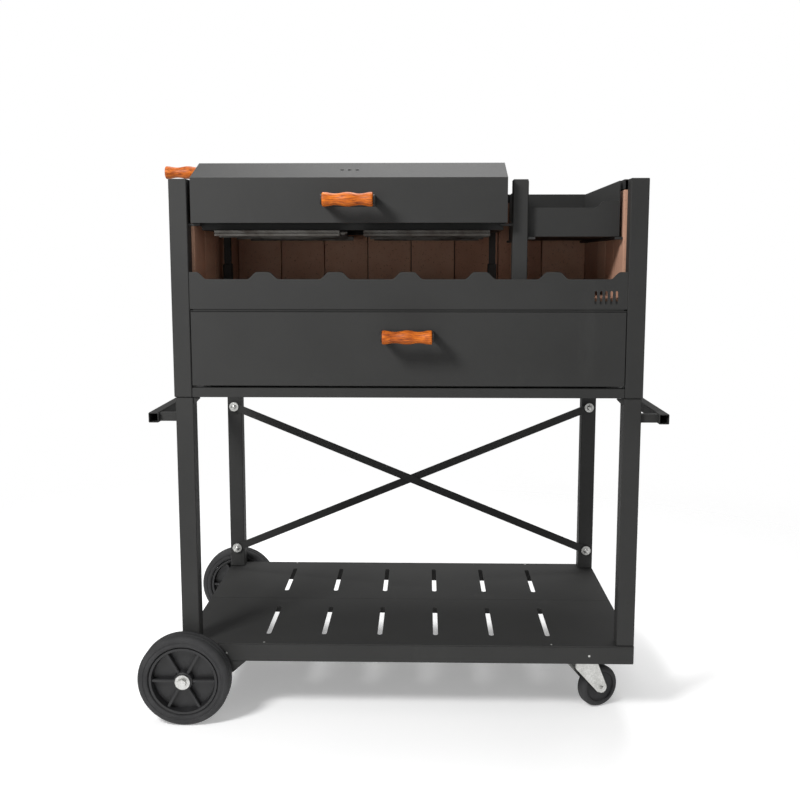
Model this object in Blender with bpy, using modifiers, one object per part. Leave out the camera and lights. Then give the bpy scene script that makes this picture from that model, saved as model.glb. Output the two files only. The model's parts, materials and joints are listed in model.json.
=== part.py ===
"""Open-hearth cart grill: a firebrick hearth with a lifting grate, a lid, a warming tray and an ash drawer,
on a square-tube cart with two fixed wheels and two swivel casters.

Metres, +Z up. Everything is laid out in the cart's own frame, whose x = 0 is the cart's centre plane, y = 0 the
front face of the corner posts (the back is at +Y) and z = 0 the ground. An empty moves that frame, so that the
whole object stands centred over the world origin.
"""

import math

import bmesh
import bpy
from mathutils import Matrix, Vector

for old in list(bpy.data.objects):
    bpy.data.objects.remove(old, do_unlink=True)

# ---------------------------------------------------------------- driving dimensions
WIDTH = 1.000            # over the corner posts
DEPTH = 0.618            # over the corner posts
TUBE = 0.038             # square tube of posts and legs
WALL = 0.002             # sheet and tube wall
GAP = 0.0003             # between pieces that touch

SHELF_LOW = 0.130        # underside of the shelf frame
SHELF_TOP = 0.171
LEG_TOP = 0.7195         # legs end here and posts begin
LEG_INSET = 0.002
HEARTH_LOW = 0.7205      # lower edge of the sheet walls and of the front rail
RAIL_TOP = 0.741
DRAWER_LOW = 0.7455
DRAWER_TOP = 0.903
PANEL_LOW = 0.909        # notched front panel
NOTCH_LOW = 0.972
TAB_TOP = 0.987
POST_TOP = 1.180

BRICK = 0.032            # lining thickness
LINING_X = 0.4555        # inner face of the side linings
LINING_Y = 0.550         # inner face of the back lining
LINING_TOP = 1.160
FLOOR_Z = 0.904          # underside of the hearth floor plate
FLOOR_BRICK = 0.024

LID_LEFT, LID_RIGHT = -0.4545, 0.208
LID_LOW = 1.089
LID_FOLD = 1.182         # top of the lid's upright front
LID_TOP = 1.220
LID_SLOPE_DEPTH = 0.098
LID_BACK = 0.590

SHAFT_Y, SHAFT_Z = 0.600, 1.190    # lever shaft, on which the lid hinges too
SHAFT_R = 0.006
LIFT_Y, LIFT_Z = 0.300, 1.105      # where the lift arms hold the grate carriage
LEG_BAR = 0.015                    # carriage frame bars and guide legs
CARRIAGE_LEFT, CARRIAGE_RIGHT = -0.435, 0.196   # middle of the side bars
CARRIAGE_Z = 1.0755                # underside of the carriage frame, from which the grates hang
GRATE_Z = 1.0605
GRATE_TOP = CARRIAGE_Z - GAP

GRIP_LENGTH = 0.1034
GRIP_R = 0.0145
GRIP_REACH = 0.055       # grip axis in front of the sheet it is fixed to

WHEEL_X, WHEEL_R, WHEEL_WIDTH = -0.488, 0.1015, 0.048
WHEEL_GAP = 0.004        # wheel to frame
RIM_R = 0.076
AXLE_R = 0.006

CASTER_X, CASTER_Y = 0.393, 0.065  # swivel axis, from the cart's centre and from its front or back face
CASTER_R, CASTER_WIDTH = 0.048, 0.030
CASTER_TRAIL = 0.045
CASTER_YAW = 25.0

SIDE_RAIL = 0.022
SIDE_RAIL_X = 0.5465     # middle of the side rails
SIDE_RAIL_Z = 0.676

HALF_W = WIDTH / 2
POST_IN = HALF_W - TUBE                 # inner face of the posts
BETWEEN_X = POST_IN - 0.0005            # sheets that fit between two posts
FRONT_IN = TUBE + 0.0005                # just behind the front posts
BACK_IN = DEPTH - TUBE - 0.0005         # just before the back posts
LEFT_END = WHEEL_X - WHEEL_R
RIGHT_END = SIDE_RAIL_X + SIDE_RAIL / 2
AXLE_HEAD = 0.010
FRONT_END = -(GRIP_REACH + GRIP_R)
BACK_END = DEPTH + WHEEL_GAP + WHEEL_WIDTH + AXLE_HEAD

# ---------------------------------------------------------------- scene, frame and materials
model = bpy.data.collections.new("cart_grill")
cutters = bpy.data.collections.new("cutters")
for collection in (model, cutters):
    bpy.context.scene.collection.children.link(collection)

cart = bpy.data.objects.new("cart_frame", None)
cart.location = (-(LEFT_END + RIGHT_END) / 2, -(FRONT_END + BACK_END) / 2, 0)
model.objects.link(cart)


def material(name, colour, roughness, metallic=0.0):
    made = bpy.data.materials.new(name)
    made.use_nodes = True
    shader = made.node_tree.nodes["Principled BSDF"]
    shader.inputs["Base Color"].default_value = (*colour, 1)
    shader.inputs["Roughness"].default_value = roughness
    shader.inputs["Metallic"].default_value = metallic
    made.diffuse_color = (*colour, 1)
    return made


COATED = material("powder_coat", (0.055, 0.055, 0.055), 0.6)
STEEL = material("bare_steel", (0.45, 0.44, 0.42), 0.4, 1.0)
ZINC = material("zinc", (0.6, 0.6, 0.6), 0.35, 1.0)
FIREBRICK = material("firebrick", (0.55, 0.36, 0.26), 0.9)
WOOD = material("turned_wood", (0.55, 0.2, 0.05), 0.45)
RUBBER = material("rubber", (0.03, 0.03, 0.03), 0.8)
PLASTIC = material("black_plastic", (0.02, 0.02, 0.02), 0.5)


# ---------------------------------------------------------------- modelling helpers
def place(obj, name, finish):
    """Names an object, gives it its finish and puts it in the cart's frame."""
    obj.name = obj.data.name = name
    for collection in list(obj.users_collection):
        collection.objects.unlink(obj)
    model.objects.link(obj)
    obj.parent = cart
    if finish:
        obj.data.materials.clear()
        obj.data.materials.append(finish)
    return obj


def box(name, low, high, finish=None, bevel=0.0):
    """A block between two corners, with its edges rounded by bevel."""
    bpy.ops.mesh.primitive_cube_add(size=1)
    obj = bpy.context.object
    size = [b - a for a, b in zip(low, high)]
    obj.data.transform(Matrix.Diagonal((*size, 1)))
    obj.location = [(a + b) / 2 for a, b in zip(low, high)]
    if bevel:
        rounded = obj.modifiers.new("rounded", "BEVEL")
        rounded.width = bevel
        rounded.segments = 1
    return place(obj, name, finish)


def turn_axis(axis):
    """The turn that takes +Z to an axis."""
    return Vector((0, 0, 1)).rotation_difference(Vector(axis)).to_matrix().to_4x4()


def cylinder(name, centre, axis, radius, length, finish=None, sides=24):
    bpy.ops.mesh.primitive_cylinder_add(vertices=sides, radius=radius, depth=length)
    obj = bpy.context.object
    obj.data.transform(turn_axis(axis))
    obj.location = centre
    return place(obj, name, finish)


def turned(name, profile, centre, axis, finish, sides=32):
    """A solid of revolution: profile holds (radius, height) from the top down, and starts and ends on the axis."""
    mesh = bpy.data.meshes.new(name)
    edges = [(i, i + 1) for i in range(len(profile) - 1)]
    mesh.from_pydata([(r, 0, h) for r, h in profile], edges, [])
    obj = bpy.data.objects.new(name, mesh)
    bpy.context.scene.collection.objects.link(obj)
    screw = obj.modifiers.new("turned", "SCREW")
    screw.steps = screw.render_steps = sides
    screw.use_merge_vertices = True
    screw.merge_threshold = 1e-5
    screw.use_smooth_shade = True
    obj.rotation_euler = turn_axis(axis).to_euler()
    obj.location = centre
    return place(obj, name, finish)


def plate(name, outline, thickness, centre, facing, finish=None, holes=()):
    """A flat outline of (across, up) points, made solid. It faces "front" (in X and Z), "side" (Y and Z) or
    "top" (X and Y). Each hole is another outline."""
    curve = bpy.data.curves.new(name, "CURVE")
    curve.dimensions = "2D"
    curve.fill_mode = "BOTH"
    curve.extrude = thickness / 2
    for ring in (outline, *holes):
        spline = curve.splines.new("POLY")
        spline.points.add(len(ring) - 1)
        spline.use_cyclic_u = True
        for point, (a, b) in zip(spline.points, ring):
            point.co = (a, b, 0, 1)
    flat = bpy.data.objects.new(name, curve)
    bpy.context.scene.collection.objects.link(flat)
    bpy.context.view_layer.update()
    mesh = bpy.data.meshes.new_from_object(flat.evaluated_get(bpy.context.evaluated_depsgraph_get()))
    bpy.data.objects.remove(flat)
    turn = {
        "front": Matrix.Rotation(math.radians(90), 4, "X"),
        "side": Matrix(((0, 0, 1, 0), (1, 0, 0, 0), (0, 1, 0, 0), (0, 0, 0, 1))),
        "top": Matrix.Identity(4),
    }[facing]
    mesh.transform(turn)
    work = bmesh.new()
    work.from_mesh(mesh)
    bmesh.ops.remove_doubles(work, verts=work.verts, dist=1e-6)
    bmesh.ops.recalc_face_normals(work, faces=work.faces)
    work.to_mesh(mesh)
    work.free()
    obj = bpy.data.objects.new(name, mesh)
    bpy.context.scene.collection.objects.link(obj)
    obj.location = centre
    return place(obj, name, finish)


def boolean(obj, other, operation):
    """Cuts or joins, and puts the other shape away among the cutters."""
    step = obj.modifiers.new(operation.lower(), "BOOLEAN")
    step.operation = operation
    step.object = other
    step.solver = "EXACT"
    for collection in list(other.users_collection):
        collection.objects.unlink(other)
    cutters.objects.link(other)
    other.hide_render = True
    other.display_type = "WIRE"
    return obj


def cut(obj, *others):
    for other in others:
        boolean(obj, other, "DIFFERENCE")
    return obj


def join(obj, *others):
    for other in others:
        boolean(obj, other, "UNION")
    return obj


def pivot(name, centre):
    """An empty on a joint's axis, which its moving pieces hang on."""
    empty = bpy.data.objects.new(name, None)
    model.objects.link(empty)
    empty.parent = cart
    empty.location = centre
    empty.empty_display_size = 0.05
    return empty


def hang(empty, *pieces):
    for piece in pieces:
        piece.parent = empty
        piece.location = Vector(piece.location) - Vector(empty.location)


def arc(centre, radius, start, end, steps=6):
    """Points along an arc, in degrees."""
    angles = [math.radians(start + (end - start) * i / steps) for i in range(steps + 1)]
    return [(centre[0] + radius * math.cos(a), centre[1] + radius * math.sin(a)) for a in angles]


def ring(centre, radius, sides=20):
    return arc(centre, radius, 0, 360 - 360 / sides, sides - 1)


def slot_outline(centre, length, width, steps=4):
    """A slot with round ends that runs along its second axis."""
    across, along = centre
    reach = (length - width) / 2
    return (arc((across, along + reach), width / 2, 0, 180, steps)
            + arc((across, along - reach), width / 2, 180, 360, steps))


def tube(name, low, high, finish=COATED, capped=False):
    """An upright square tube, open below and, unless it is capped, above."""
    outer = box(name, low, high, finish, bevel=0.0015)
    inner_high = high[2] - WALL if capped else high[2] + 0.01
    inner = box(name + "_bore", (low[0] + WALL, low[1] + WALL, low[2] - 0.01),
                (high[0] - WALL, high[1] - WALL, inner_high))
    return cut(outer, inner)


# ---------------------------------------------------------------- cart
LEG_X = HALF_W - LEG_INSET
for side, sign in (("left", -1), ("right", 1)):
    for end, near in (("front", LEG_INSET), ("rear", DEPTH - LEG_INSET - TUBE)):
        xs = sorted((sign * LEG_X, sign * (LEG_X - TUBE)))
        tube(f"leg_{end}_{side}", (xs[0], near, SHELF_TOP + GAP), (xs[1], near + TUBE, LEG_TOP))
        xs = sorted((sign * HALF_W, sign * POST_IN))
        near = 0 if end == "front" else DEPTH - TUBE
        tube(f"post_{end}_{side}", (xs[0], near, LEG_TOP + 0.001), (xs[1], near + TUBE, POST_TOP), capped=True)

FRAME_WIDE = 0.030
frame = box("shelf_frame", (-LEG_X, 0, SHELF_LOW), (LEG_X, DEPTH, SHELF_TOP - WALL - GAP), COATED, bevel=0.001)
window = box("shelf_frame_window", (-LEG_X + FRAME_WIDE, FRAME_WIDE, 0),
             (LEG_X - FRAME_WIDE, DEPTH - FRAME_WIDE, SHELF_TOP))
cut(frame, window)
middle = box("shelf_frame_middle", (-LEG_X + 0.01, DEPTH / 2 - 0.015, SHELF_LOW + 0.010),
             (LEG_X - 0.01, DEPTH / 2 + 0.015, SHELF_TOP - WALL - GAP))
join(frame, middle)

SLOT_PITCH = 0.1265
SLOT_LENGTH, SLOT_WIDTH = 0.188, 0.011
SEAM = 0.0005
for name, near, far in (("shelf_panel_front", 0, DEPTH / 2 - SEAM), ("shelf_panel_rear", DEPTH / 2 + SEAM, DEPTH)):
    slots = [slot_outline(((k - 2.5) * SLOT_PITCH, 0), SLOT_LENGTH, SLOT_WIDTH) for k in range(6)]
    half_deep = (far - near) / 2
    corners = [(-LEG_X, -half_deep), (LEG_X, -half_deep), (LEG_X, half_deep), (-LEG_X, half_deep)]
    plate(name, corners, WALL, (0, (near + far) / 2, SHELF_TOP - WALL / 2), "top", COATED, slots)

# Crossed flat bars on the front of the rear legs, each with its two bolts.
BRACE_X = LEG_X - TUBE / 2
BRACE_LOW, BRACE_HIGH = 0.224, 0.618
BRACE_WIDTH, BRACE_THICK = 0.020, 0.003
BOLT_R, BOLT_HEAD = 0.011, 0.004
leg_face = DEPTH - LEG_INSET - TUBE
for number, lean in enumerate((1, -1)):
    name = ("brace_bar_rising", "brace_bar_falling")[number]
    length = math.hypot(2 * BRACE_X, BRACE_HIGH - BRACE_LOW) + BRACE_WIDTH
    outline = slot_outline((0, 0), length, BRACE_WIDTH)
    slope = math.atan2(BRACE_HIGH - BRACE_LOW, 2 * BRACE_X) * lean
    across = Matrix.Rotation(slope - math.pi / 2, 2)
    outline = [tuple(across @ Vector(p)) for p in outline]
    face = leg_face - GAP - (number + 1) * BRACE_THICK - number * 0.001
    bar = plate(name, outline, BRACE_THICK, (0, face + BRACE_THICK / 2, (BRACE_LOW + BRACE_HIGH) / 2), "front", COATED)
    for sign in (-1, 1):
        z = BRACE_HIGH if sign * lean > 0 else BRACE_LOW
        head = cylinder(f"{name}_bolt_{sign}", (sign * BRACE_X, face - BOLT_HEAD / 2 + 0.0005, z), (0, 1, 0),
                        BOLT_R, BOLT_HEAD + 0.001, sides=16)
        join(bar, head)

# Side rails: a square tube along each side, on two short stubs.
RAIL_STUB = 0.018
for side, sign in (("left", -1), ("right", 1)):
    half = SIDE_RAIL / 2
    rail = box(f"side_rail_{side}", (sign * SIDE_RAIL_X - half, 0, SIDE_RAIL_Z - half),
               (sign * SIDE_RAIL_X + half, DEPTH, SIDE_RAIL_Z + half), COATED, bevel=0.0015)
    bore = box(f"side_rail_{side}_bore", (sign * SIDE_RAIL_X - half + WALL, -0.01, SIDE_RAIL_Z - half + WALL),
               (sign * SIDE_RAIL_X + half - WALL, DEPTH + 0.01, SIDE_RAIL_Z + half - WALL))
    for end, y in (("front", LEG_INSET + TUBE / 2), ("rear", DEPTH - LEG_INSET - TUBE / 2)):
        xs = sorted((sign * (LEG_X + GAP), sign * (SIDE_RAIL_X - half + 0.001)))
        stub = box(f"side_rail_{side}_stub_{end}", (xs[0], y - RAIL_STUB / 2, SIDE_RAIL_Z - RAIL_STUB / 2),
                   (xs[1], y + RAIL_STUB / 2, SIDE_RAIL_Z + RAIL_STUB / 2))
        join(rail, stub)
    cut(rail, bore)

# ---------------------------------------------------------------- fixed wheels on the left
BRACKET_THICK = 0.005
BOLT_WIDE = 0.033
for end, outside in (("front", -1), ("rear", 1)):
    face = 0 if outside < 0 else DEPTH
    z = WHEEL_R
    outline = [(-LEG_X, SHELF_LOW - GAP), (-0.358, SHELF_LOW - GAP), (-0.385, 0.106), (-0.440, 0.070),
               (-LEG_X, 0.070)]
    hole = ring((WHEEL_X, z), AXLE_R + GAP)
    plate(f"wheel_bracket_{end}", outline, BRACKET_THICK, (0, face - outside * BRACKET_THICK / 2, 0), "front",
          COATED, [hole])
    middle_y = face + outside * (WHEEL_GAP + WHEEL_WIDTH / 2)
    centre = (WHEEL_X, middle_y, z)
    spin = pivot(f"wheel_{end}_axis", centre)
    half = WHEEL_WIDTH / 2
    shoulder = 0.010
    outer_profile = [(RIM_R + GAP, half - 0.004), (RIM_R + 0.006, half), (WHEEL_R - shoulder, half)]
    outer_profile += [(WHEEL_R - shoulder + shoulder * math.sin(a), half - shoulder + shoulder * math.cos(a))
                      for a in (math.radians(d) for d in (30, 60, 90))]
    tread = outer_profile + [(r, -h) for r, h in reversed(outer_profile)]
    tyre = turned(f"tyre_{end}", tread + [tread[0]], centre, (0, 1, 0), RUBBER, 32)
    hub = 0.020
    web = 0.006
    rim_profile = [(AXLE_R + GAP, half - 0.002), (hub, half - 0.002), (hub + 0.004, web), (RIM_R - 0.008, web),
                   (RIM_R - 0.004, half - 0.003), (RIM_R, half - 0.003)]
    rim = rim_profile + [(r, -h) for r, h in reversed(rim_profile)]
    wheel = turned(f"rim_{end}", rim + [rim[0]], centre, (0, 1, 0), PLASTIC, 32)
    ribs = 6
    for k in range(ribs):
        turn = 360 / ribs * k
        rib = box(f"rim_{end}_rib_{k}", (hub - 0.004, -half + 0.004, -0.003), (RIM_R - 0.005, half - 0.004, 0.003))
        rib.data.transform(Matrix.Translation(rib.location))
        rib.data.transform(Matrix.Rotation(math.radians(turn), 4, "Y"))
        rib.location = centre
        join(wheel, rib)
    hang(spin, tyre, wheel)
    outer_face = middle_y + outside * (half + 0.0005)
    inner_face = face - outside * (BRACKET_THICK + 0.0005)
    axle = cylinder(f"axle_bolt_{end}", (WHEEL_X, (outer_face + inner_face) / 2, z), (0, 1, 0), AXLE_R,
                    abs(outer_face - inner_face) + 0.004, ZINC, 20)
    head = cylinder(f"axle_bolt_{end}_head", (WHEEL_X, outer_face + outside * 0.0052, z), (0, 1, 0), 0.0095, 0.0085,
                    sides=6)
    washer = cylinder(f"axle_bolt_{end}_washer", (WHEEL_X, outer_face + outside * 0.001, z), (0, 1, 0),
                      BOLT_WIDE / 2, 0.002, sides=24)
    nut = cylinder(f"axle_bolt_{end}_nut", (WHEEL_X, inner_face - outside * 0.004, z), (0, 1, 0), 0.0095, 0.008,
                   sides=6)
    join(axle, head, washer, nut)

# ---------------------------------------------------------------- swivel casters on the right
PLATE_THICK = 0.004
PIN_R = 0.006
FORK_TOP = SHELF_LOW - PLATE_THICK - 0.004
FORK_THICK = 0.003
yaw = math.radians(CASTER_YAW)
trail = Vector((math.cos(yaw), math.sin(yaw), 0))
across = Vector((-math.sin(yaw), math.cos(yaw), 0))
for end, y in (("front", CASTER_Y), ("rear", DEPTH - CASTER_Y)):
    base = Vector((CASTER_X, y, 0))
    top = box(f"caster_plate_{end}", (CASTER_X - 0.045, y - 0.036, SHELF_LOW - GAP - PLATE_THICK),
              (CASTER_X + 0.045, y + 0.036, SHELF_LOW - GAP), ZINC)
    pin = cylinder(f"caster_plate_{end}_kingpin", base + Vector((0, 0, SHELF_LOW - 0.010)), (0, 0, 1), PIN_R, 0.018)
    join(top, pin)
    swivel = pivot(f"caster_{end}_swivel", base + Vector((0, 0, FORK_TOP)))
    fork = cylinder(f"caster_fork_{end}", base + Vector((0, 0, FORK_TOP - FORK_THICK / 2)), (0, 0, 1), 0.029,
                    FORK_THICK, ZINC, 32)
    wheel_centre = base + trail * CASTER_TRAIL + Vector((0, 0, CASTER_R))
    cheek_out = CASTER_WIDTH / 2 + 0.003
    for number, sign in enumerate((-1, 1)):
        low = FORK_TOP - FORK_THICK / 2
        outline = [(-0.026, low), (-0.026, low - 0.016), (CASTER_TRAIL - 0.012, CASTER_R - 0.008)]
        outline += arc((CASTER_TRAIL, CASTER_R), 0.012, 230, 380, 5) + [(0.026, low)]
        cheek = plate(f"caster_fork_{end}_cheek_{number}", outline, FORK_THICK, (0, 0, 0), "front")
        cheek.data.transform(Matrix.Rotation(yaw, 4, "Z"))
        cheek.location = base + across * sign * (cheek_out + FORK_THICK / 2)
        join(fork, cheek)
    axle = cylinder(f"caster_fork_{end}_axle", wheel_centre, across, 0.004, 2 * cheek_out + 4 * FORK_THICK + 0.004,
                    sides=16)
    join(fork, axle)
    kinghole = cylinder(f"caster_fork_{end}_hole", base + Vector((0, 0, FORK_TOP)), (0, 0, 1), PIN_R + GAP, 0.02)
    cut(fork, kinghole)
    spin = pivot(f"caster_wheel_{end}_axis", wheel_centre)
    half = CASTER_WIDTH / 2
    profile = [(0.004 + GAP, half), (0.014, half), (0.017, half - 0.004), (CASTER_R - 0.012, half - 0.004),
               (CASTER_R - 0.008, half - 0.001), (CASTER_R - 0.003, half - 0.003), (CASTER_R, half - 0.008)]
    profile += [(r, -h) for r, h in reversed(profile)]
    roller = turned(f"caster_wheel_{end}", profile + [profile[0]], wheel_centre, across, RUBBER, 28)
    hang(spin, roller)
    hang(swivel, fork)
    spin.parent = swivel
    spin.location = Vector(spin.location) - Vector(swivel.location)

# ---------------------------------------------------------------- hearth
rail = box("front_rail", (-BETWEEN_X, 0.001, HEARTH_LOW), (BETWEEN_X, 0.021, RAIL_TOP), COATED, bevel=0.001)
join(rail, box("front_rail_shelf", (-0.430, 0.019, RAIL_TOP - 0.006), (0.430, 0.042, RAIL_TOP - 0.004)),
     box("front_rail_lip", (-0.430, 0.040, RAIL_TOP - 0.006), (0.430, 0.042, DRAWER_LOW + 0.004)))

# The notched panel: six low openings between seven tabs, with smooth S-shaped flanks.
OPENINGS = 6
TAB_PITCH = 2 * BETWEEN_X * 0.9925 / OPENINGS
TAB_WIDE = 0.0245
FLANK = 0.021
FLANK_STEPS = 6


def flank(x, direction, rising):
    """Points of one tab's side, a smooth step between the notch and the tab's top."""
    points = []
    for i in range(FLANK_STEPS + 1):
        t = i / FLANK_STEPS
        lift = t * t * (3 - 2 * t)
        points.append((x + direction * FLANK * t, NOTCH_LOW + (TAB_TOP - NOTCH_LOW) * (lift if rising else 1 - lift)))
    return points


outline = [(BETWEEN_X, PANEL_LOW), (BETWEEN_X, TAB_TOP)]
for k in range(OPENINGS, 0, -1):
    right = (k - OPENINGS / 2) * TAB_PITCH - TAB_WIDE / 2
    left = right - TAB_PITCH + TAB_WIDE
    outline += flank(right, -1, False)
    outline += [(x, z) for x, z in reversed(flank(left, 1, False))]
outline += [(-BETWEEN_X, TAB_TOP), (-BETWEEN_X, PANEL_LOW)]
VENTS = 5
VENT_X, VENT_Z, VENT_PITCH = 0.417, 0.9335, 0.011
vents = [slot_outline((VENT_X + (k - (VENTS - 1) / 2) * VENT_PITCH, VENT_Z), 0.028, 0.005) for k in range(VENTS)]
plate("front_panel", outline, WALL, (0, 0.001 + WALL / 2, 0), "front", COATED, vents)

CAP_LOW = LINING_TOP + 0.0005
SIDE_SHEET = 0.4965
for side, sign in (("left", -1), ("right", 1)):
    def across_wall(near, far):
        return sorted((sign * near, sign * far))
    xs = across_wall(SIDE_SHEET, SIDE_SHEET - WALL)
    wall = box(f"side_wall_{side}", (xs[0], FRONT_IN, HEARTH_LOW), (xs[1], BACK_IN, POST_TOP), COATED)
    xs = across_wall(SIDE_SHEET - 0.001, LINING_X)
    cap = box(f"side_wall_{side}_cap", (xs[0], FRONT_IN, POST_TOP - WALL), (xs[1], BACK_IN, POST_TOP))
    xs = across_wall(LINING_X + WALL, LINING_X)
    lip = box(f"side_wall_{side}_lip", (xs[0], FRONT_IN, CAP_LOW), (xs[1], BACK_IN, POST_TOP - 0.001))
    xs = across_wall(0.430, SIDE_SHEET - 0.001)
    runner = box(f"side_wall_{side}_drawer_runner", (xs[0], FRONT_IN, 0.7510), (xs[1], 0.560, 0.7530))
    join(wall, cap, lip, runner)
    xs = across_wall(LINING_X, LINING_X + BRICK)
    box(f"lining_{side}", (xs[0], FRONT_IN, FLOOR_Z + 0.003), (xs[1], BACK_IN, LINING_TOP), FIREBRICK)

BACK_SHEET = LINING_Y + BRICK + 0.001
back = box("back_wall", (-BETWEEN_X, BACK_SHEET, HEARTH_LOW), (BETWEEN_X, BACK_SHEET + WALL, POST_TOP), COATED)
cap = box("back_wall_cap", (-LINING_X + GAP, LINING_Y, POST_TOP - WALL), (LINING_X - GAP, BACK_SHEET + 0.001, POST_TOP))
lip = box("back_wall_lip", (-LINING_X + GAP, LINING_Y, CAP_LOW), (LINING_X - GAP, LINING_Y + WALL, POST_TOP - 0.001))
join(back, cap, lip)
inner_x = LINING_X - GAP
box("lining_back", (-inner_x, LINING_Y, FLOOR_Z + 0.003), (inner_x, LINING_Y + BRICK, LINING_TOP), FIREBRICK)

floor = box("hearth_floor", (-0.494, FRONT_IN, FLOOR_Z), (0.494, BACK_IN, FLOOR_Z + WALL), COATED)
front_strip = box("hearth_floor_front", (-BETWEEN_X, 0.0035, FLOOR_Z), (BETWEEN_X, 0.060, FLOOR_Z + WALL))
join(floor, front_strip)
floor_top = FLOOR_Z + 0.003 + FLOOR_BRICK
bricks = box("lining_floor", (-inner_x, 0.0065, FLOOR_Z + 0.003), (inner_x, LINING_Y - GAP, floor_top), FIREBRICK)

# Upright sleeves on the floor guide the carriage's two legs.
SLEEVE = 0.021
SLEEVE_TOP = 1.003
for side, x in (("left", CARRIAGE_LEFT), ("right", CARRIAGE_RIGHT)):
    half = SLEEVE / 2
    low = FLOOR_Z + 0.003
    sleeve = box(f"guide_sleeve_{side}", (x - half, LIFT_Y - half, low), (x + half, LIFT_Y + half, SLEEVE_TOP), COATED,
                 bevel=0.002)
    bore = LEG_BAR / 2 + 0.0008
    cut(sleeve, box(f"guide_sleeve_{side}_bore", (x - bore, LIFT_Y - bore, low - 0.01),
                    (x + bore, LIFT_Y + bore, SLEEVE_TOP + 0.01)))
    socket = half + 0.0005
    cut(bricks, box(f"lining_floor_socket_{side}", (x - socket, LIFT_Y - socket, low - 0.01),
                    (x + socket, LIFT_Y + socket, floor_top + 0.01)))

# The inner post between lid and tray carries the lid's right rest and the tray's left ledge.
INNER_LEFT, INNER_RIGHT, INNER_FRONT = 0.2215, 0.2535, 0.030
INNER_DEEP = INNER_RIGHT - INNER_LEFT
inner = box("inner_post", (INNER_LEFT, INNER_FRONT, floor_top + GAP), (INNER_RIGHT, INNER_FRONT + INNER_DEEP, POST_TOP),
            COATED, bevel=0.0015)
inner_bore = box("inner_post_bore", (INNER_LEFT + WALL, INNER_FRONT + WALL, floor_top - 0.01),
                 (INNER_RIGHT - WALL, INNER_FRONT + INNER_DEEP - WALL, POST_TOP - WALL))
LEDGE_LOW, LEDGE_HIGH = 1.0555, 1.0605
ledge = box("inner_post_ledge", (INNER_RIGHT - 0.004, INNER_FRONT + 0.004, LEDGE_LOW),
            (INNER_RIGHT + 0.016, LINING_Y - 0.001, LEDGE_HIGH))
REST_LOW, REST_HIGH = LID_LOW - 0.0055, LID_LOW - 0.0008
rest = box("inner_post_rest", (0.196, INNER_FRONT + 0.006, REST_LOW), (INNER_LEFT + 0.001, INNER_FRONT + 0.022, REST_HIGH))
join(inner, ledge)
cut(inner, inner_bore)
join(inner, rest)
box("tray_ledge_right", (LINING_X - 0.016, 0.045, LEDGE_LOW), (LINING_X - GAP, LINING_Y - 0.001, LEDGE_HIGH), COATED)
lid_rest = box("lid_rest_left", (-LINING_X + 0.0005, 0.012, REST_LOW), (-0.438, 0.036, REST_HIGH))
arm = box("lid_rest_left_arm", (-POST_IN - 0.001, 0.012, REST_LOW), (-0.450, 0.030, REST_HIGH))
join(bpy.data.objects["post_front_left"], join(lid_rest, arm))

# ---------------------------------------------------------------- ash drawer
drawer_slide = pivot("drawer_slide_axis", (0, 0, DRAWER_LOW))
FRONT_X = BETWEEN_X - 0.001
drawer_front = box("drawer_front", (-FRONT_X, 0.0005, DRAWER_LOW), (FRONT_X, 0.020, DRAWER_TOP), COATED, bevel=0.001)
hollow = box("drawer_front_hollow", (-FRONT_X + WALL, 0.0005 + WALL, DRAWER_LOW + WALL),
             (FRONT_X - WALL, 0.030, DRAWER_TOP - WALL))
cut(drawer_front, hollow)
BOX_X, BOX_LOW, BOX_HIGH, BOX_BACK = 0.436, 0.7555, 0.880, 0.530
drawer_box = box("drawer_box", (-BOX_X, 0.003, BOX_LOW), (BOX_X, BOX_BACK, BOX_HIGH), COATED)
inside = box("drawer_box_inside", (-BOX_X + WALL, 0.003 + WALL, BOX_LOW + WALL),
             (BOX_X - WALL, BOX_BACK - WALL, BOX_HIGH + 0.01))
cut(drawer_box, inside)


def grip(name, centre, axis):
    """A turned wooden grip: flared ends, two waists and a full middle."""
    steps = 12
    points = [(0, GRIP_LENGTH / 2)]
    for i in range(steps + 1):
        t = i / steps
        radius = GRIP_R * (0.90 + 0.10 * math.cos(4 * math.pi * t))
        points.append((radius, GRIP_LENGTH * (0.5 - t)))
    points.append((0, -GRIP_LENGTH / 2))
    return turned(name, points, centre, axis, WOOD, 14)


def handle_bracket(name, x, z, face):
    """A bent strap: a foot on the sheet and two arms that hold the grip's ends."""
    arm, thick, tall = GRIP_LENGTH / 2 + 0.0005, 0.003, 0.020
    foot = box(name, (x - arm - thick, face - thick, z - tall / 2), (x + arm + thick, face - GAP, z + tall / 2), COATED)
    for sign in (-1, 1):
        xs = sorted((x + sign * arm, x + sign * (arm + thick)))
        join(foot, box(f"{name}_arm_{sign}", (xs[0], face - GRIP_REACH, z - tall / 2), (xs[1], face - 0.001, z + tall / 2)),
             cylinder(f"{name}_end_{sign}", ((xs[0] + xs[1]) / 2, face - GRIP_REACH, z), (1, 0, 0), tall / 2, thick, sides=16))
    return foot


DRAWER_GRIP_Z = 0.8537
strap = handle_bracket("drawer_bracket", 0, DRAWER_GRIP_Z, 0.0005)
handle = grip("drawer_grip", (0, 0.0005 - GRIP_REACH, DRAWER_GRIP_Z), (1, 0, 0))
hang(drawer_slide, drawer_front, drawer_box, strap, handle)

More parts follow.
